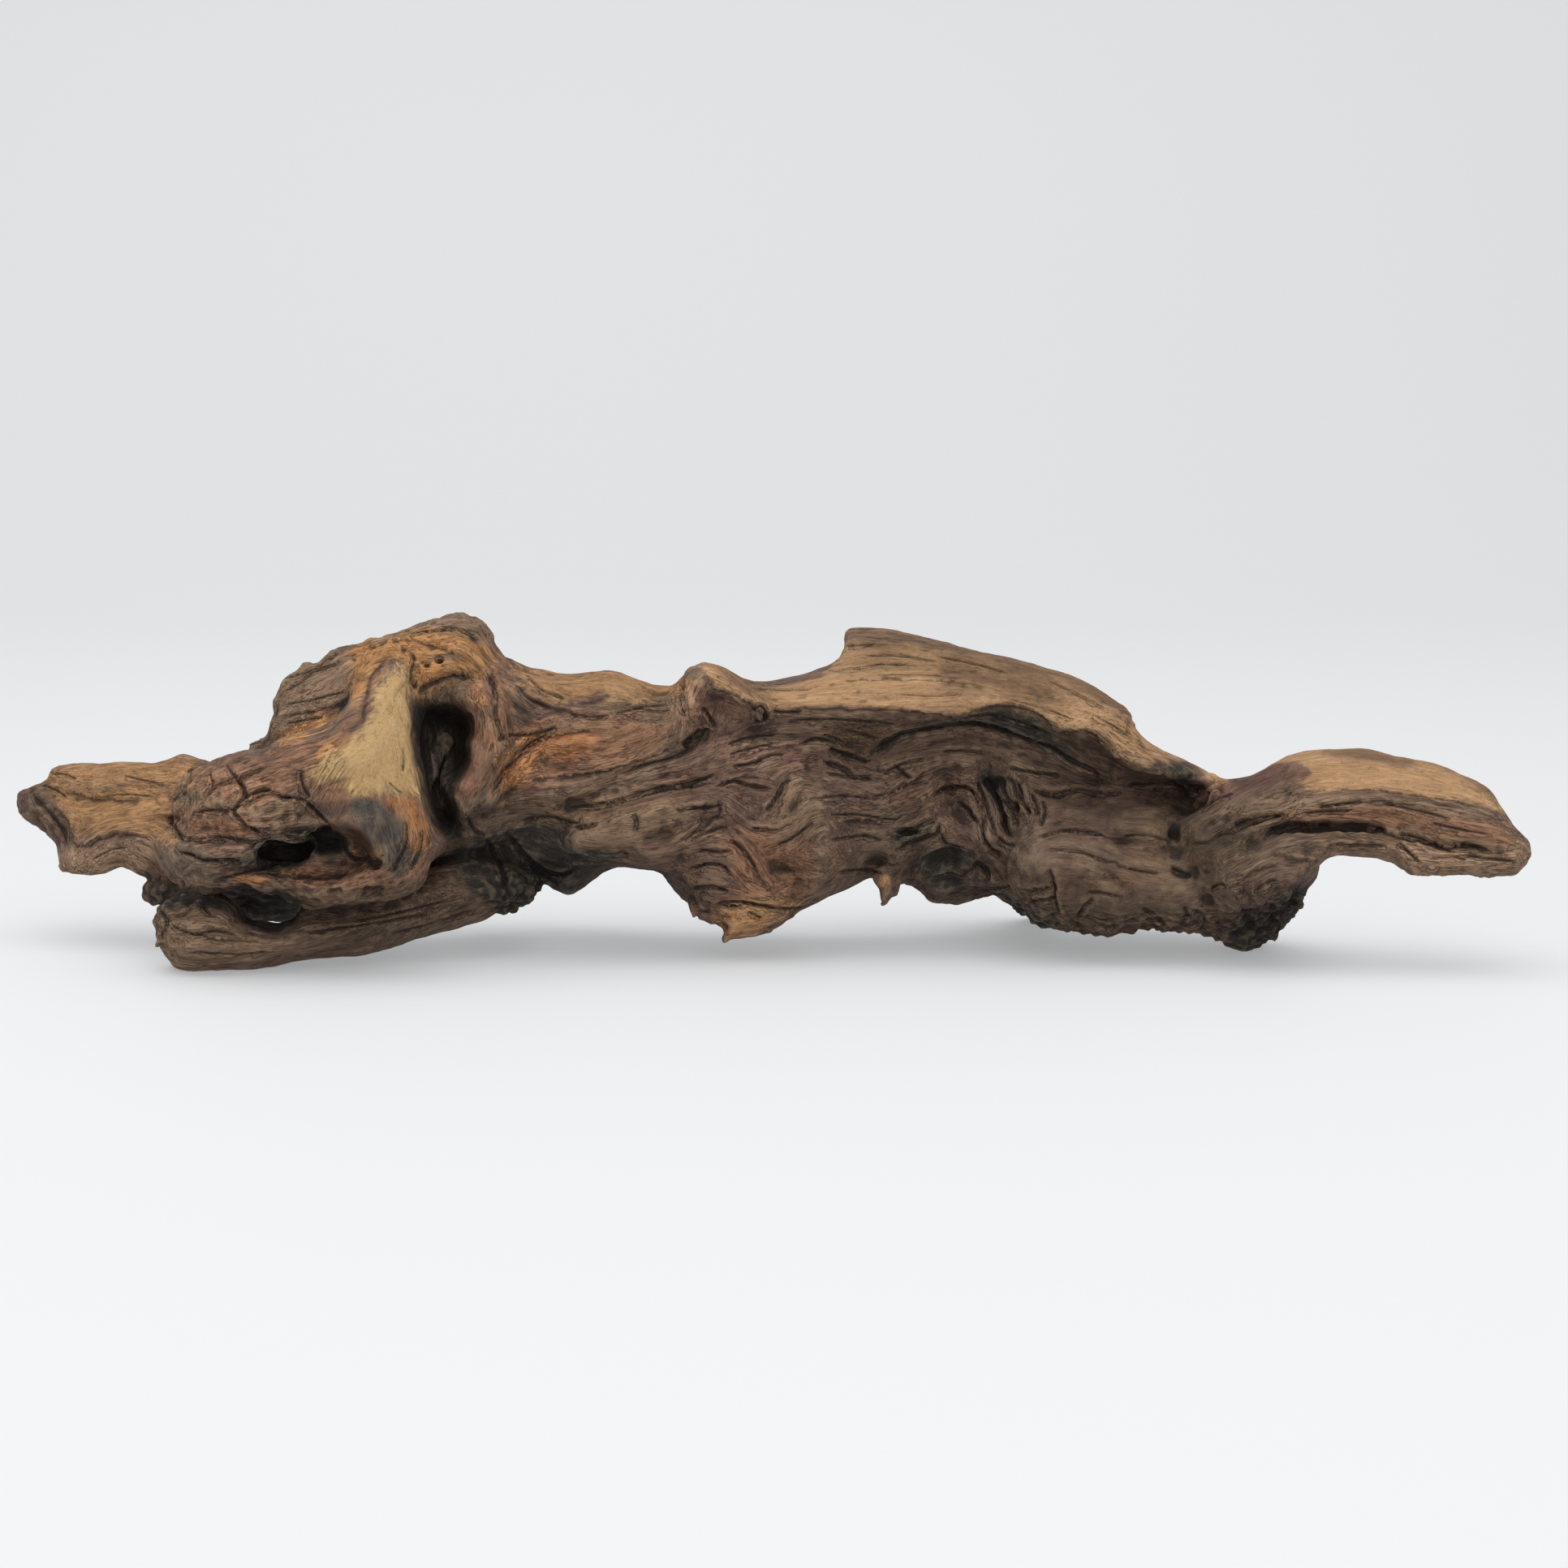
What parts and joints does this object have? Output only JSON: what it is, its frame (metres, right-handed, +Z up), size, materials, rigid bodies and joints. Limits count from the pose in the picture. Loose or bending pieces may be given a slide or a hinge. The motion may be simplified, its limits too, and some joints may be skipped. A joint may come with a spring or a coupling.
{
  "type": "mopani wood",
  "caption": "Gnarled piece of weathered mopani driftwood lying on low points, with a high knotted end, an eye-like hollow, a pale upper plate and a curved horn.",
  "frame": {"origin": "centre of the piece's footprint box, on the surface that it lies on", "axes": "+X along the wood towards the horn, +Y away from the side with the eye-like hollow, +Z up"},
  "size_m": [0.4504, 0.126, 0.0996],
  "materials": {
    "weathered_wood": "weathered, dry and matt"
  },
  "bodies": {
    "root": {"mopani_wood": "weathered_wood"}
  },
  "joints": []
}
